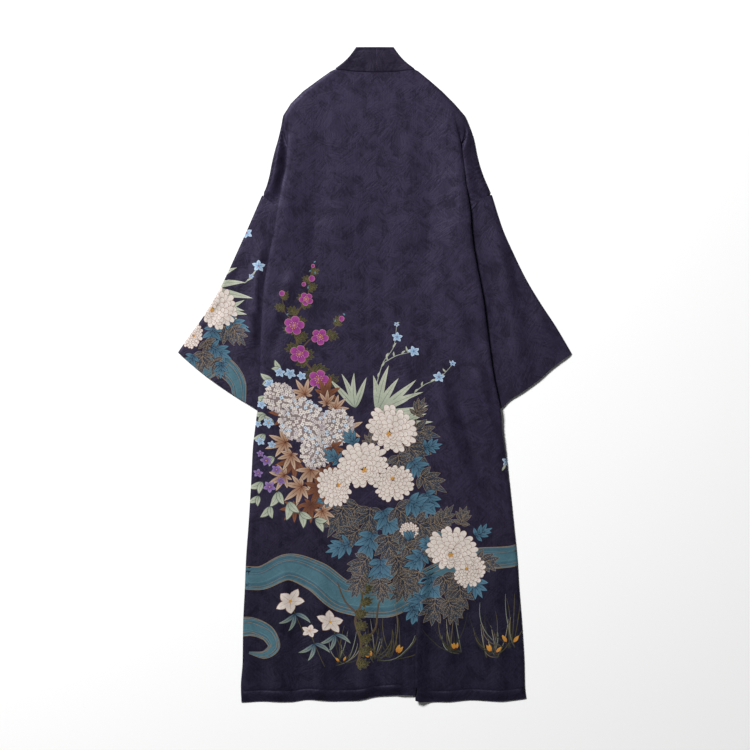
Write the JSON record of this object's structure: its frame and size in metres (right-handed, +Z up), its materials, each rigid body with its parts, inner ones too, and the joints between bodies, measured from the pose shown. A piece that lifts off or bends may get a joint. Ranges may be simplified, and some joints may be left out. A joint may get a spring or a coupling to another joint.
{
  "type": "haori robe",
  "caption": "Long open-front haori robe laid flat with its back up, sleeves lowered, shoulders tucked and a lapped pleat at the hem.",
  "frame": {"origin": "on the surface the robe lies on, under the middle of its outline", "axes": "+Y up the back from the hem to the neck, +X towards the wearer's right sleeve, +Z up off the surface"},
  "size_m": [0.6888, 1.1464, 0.0126],
  "materials": {
    "back_cloth": "dark aubergine jacquard satin with a soft sheen",
    "front_cloth": "dark aubergine jacquard satin with a soft sheen",
    "sleeve_cloth": "dark aubergine jacquard satin with a soft sheen",
    "collar_cloth": "dark aubergine jacquard satin with a soft sheen"
  },
  "bodies": {
    "root": {"back": "back_cloth", "front_left": "front_cloth", "front_right": "front_cloth", "sleeve_left": "sleeve_cloth", "sleeve_right": "sleeve_cloth", "collar_left": "collar_cloth", "collar_right": "collar_cloth"}
  },
  "joints": []
}
